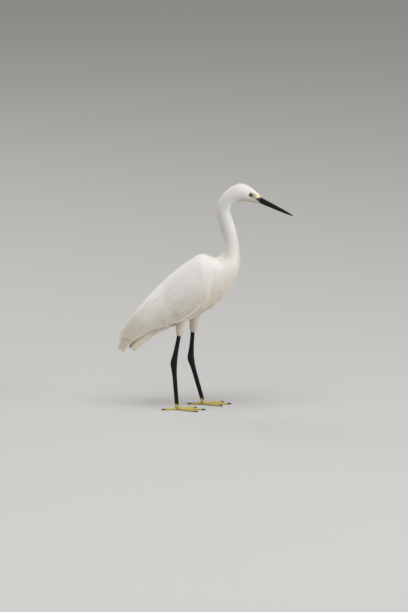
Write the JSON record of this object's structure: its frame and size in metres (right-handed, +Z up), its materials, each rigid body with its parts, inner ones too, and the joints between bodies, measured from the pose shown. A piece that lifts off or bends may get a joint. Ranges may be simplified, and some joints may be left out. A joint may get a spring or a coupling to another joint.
{
  "type": "standing little egret figure",
  "caption": "Life-size white heron standing upright on long black legs, neck in an S, long straight bill held slightly down, folded wings and short tail, toes spread on the floor.",
  "frame": {"origin": "centre of the object's box, on the floor that the feet stand on", "axes": "+Z up, +X the way the bird faces, +Y to the bird's left"},
  "size_m": [0.3861, 0.103, 0.503],
  "materials": {
    "plumage": "soft white plumage",
    "bill": "satin black horn",
    "eye": "wet pale yellow eye",
    "leg": "black scaled skin",
    "foot": "yellow scaled skin",
    "claw": "black horn"
  },
  "bodies": {
    "root": {"bill_upper": "bill", "bill_lower": "bill", "head": "plumage", "eye_right": "eye", "eye_left": "eye", "neck_upper": "plumage", "neck_middle": "plumage", "neck_lower": "plumage", "torso": "plumage", "tail": "plumage", "wing_right": "plumage", "wing_left": "plumage", "thigh_right": "plumage", "thigh_left": "plumage", "shank_right": "leg", "shank_left": "leg", "tarsus_right": "leg", "tarsus_left": "leg", "foot_right": "foot", "foot_left": "foot", "claw_right_inner": "claw", "claw_right_middle": "claw", "claw_right_outer": "claw", "claw_right_hind": "claw", "claw_left_inner": "claw", "claw_left_middle": "claw", "claw_left_outer": "claw", "claw_left_hind": "claw"}
  },
  "joints": []
}
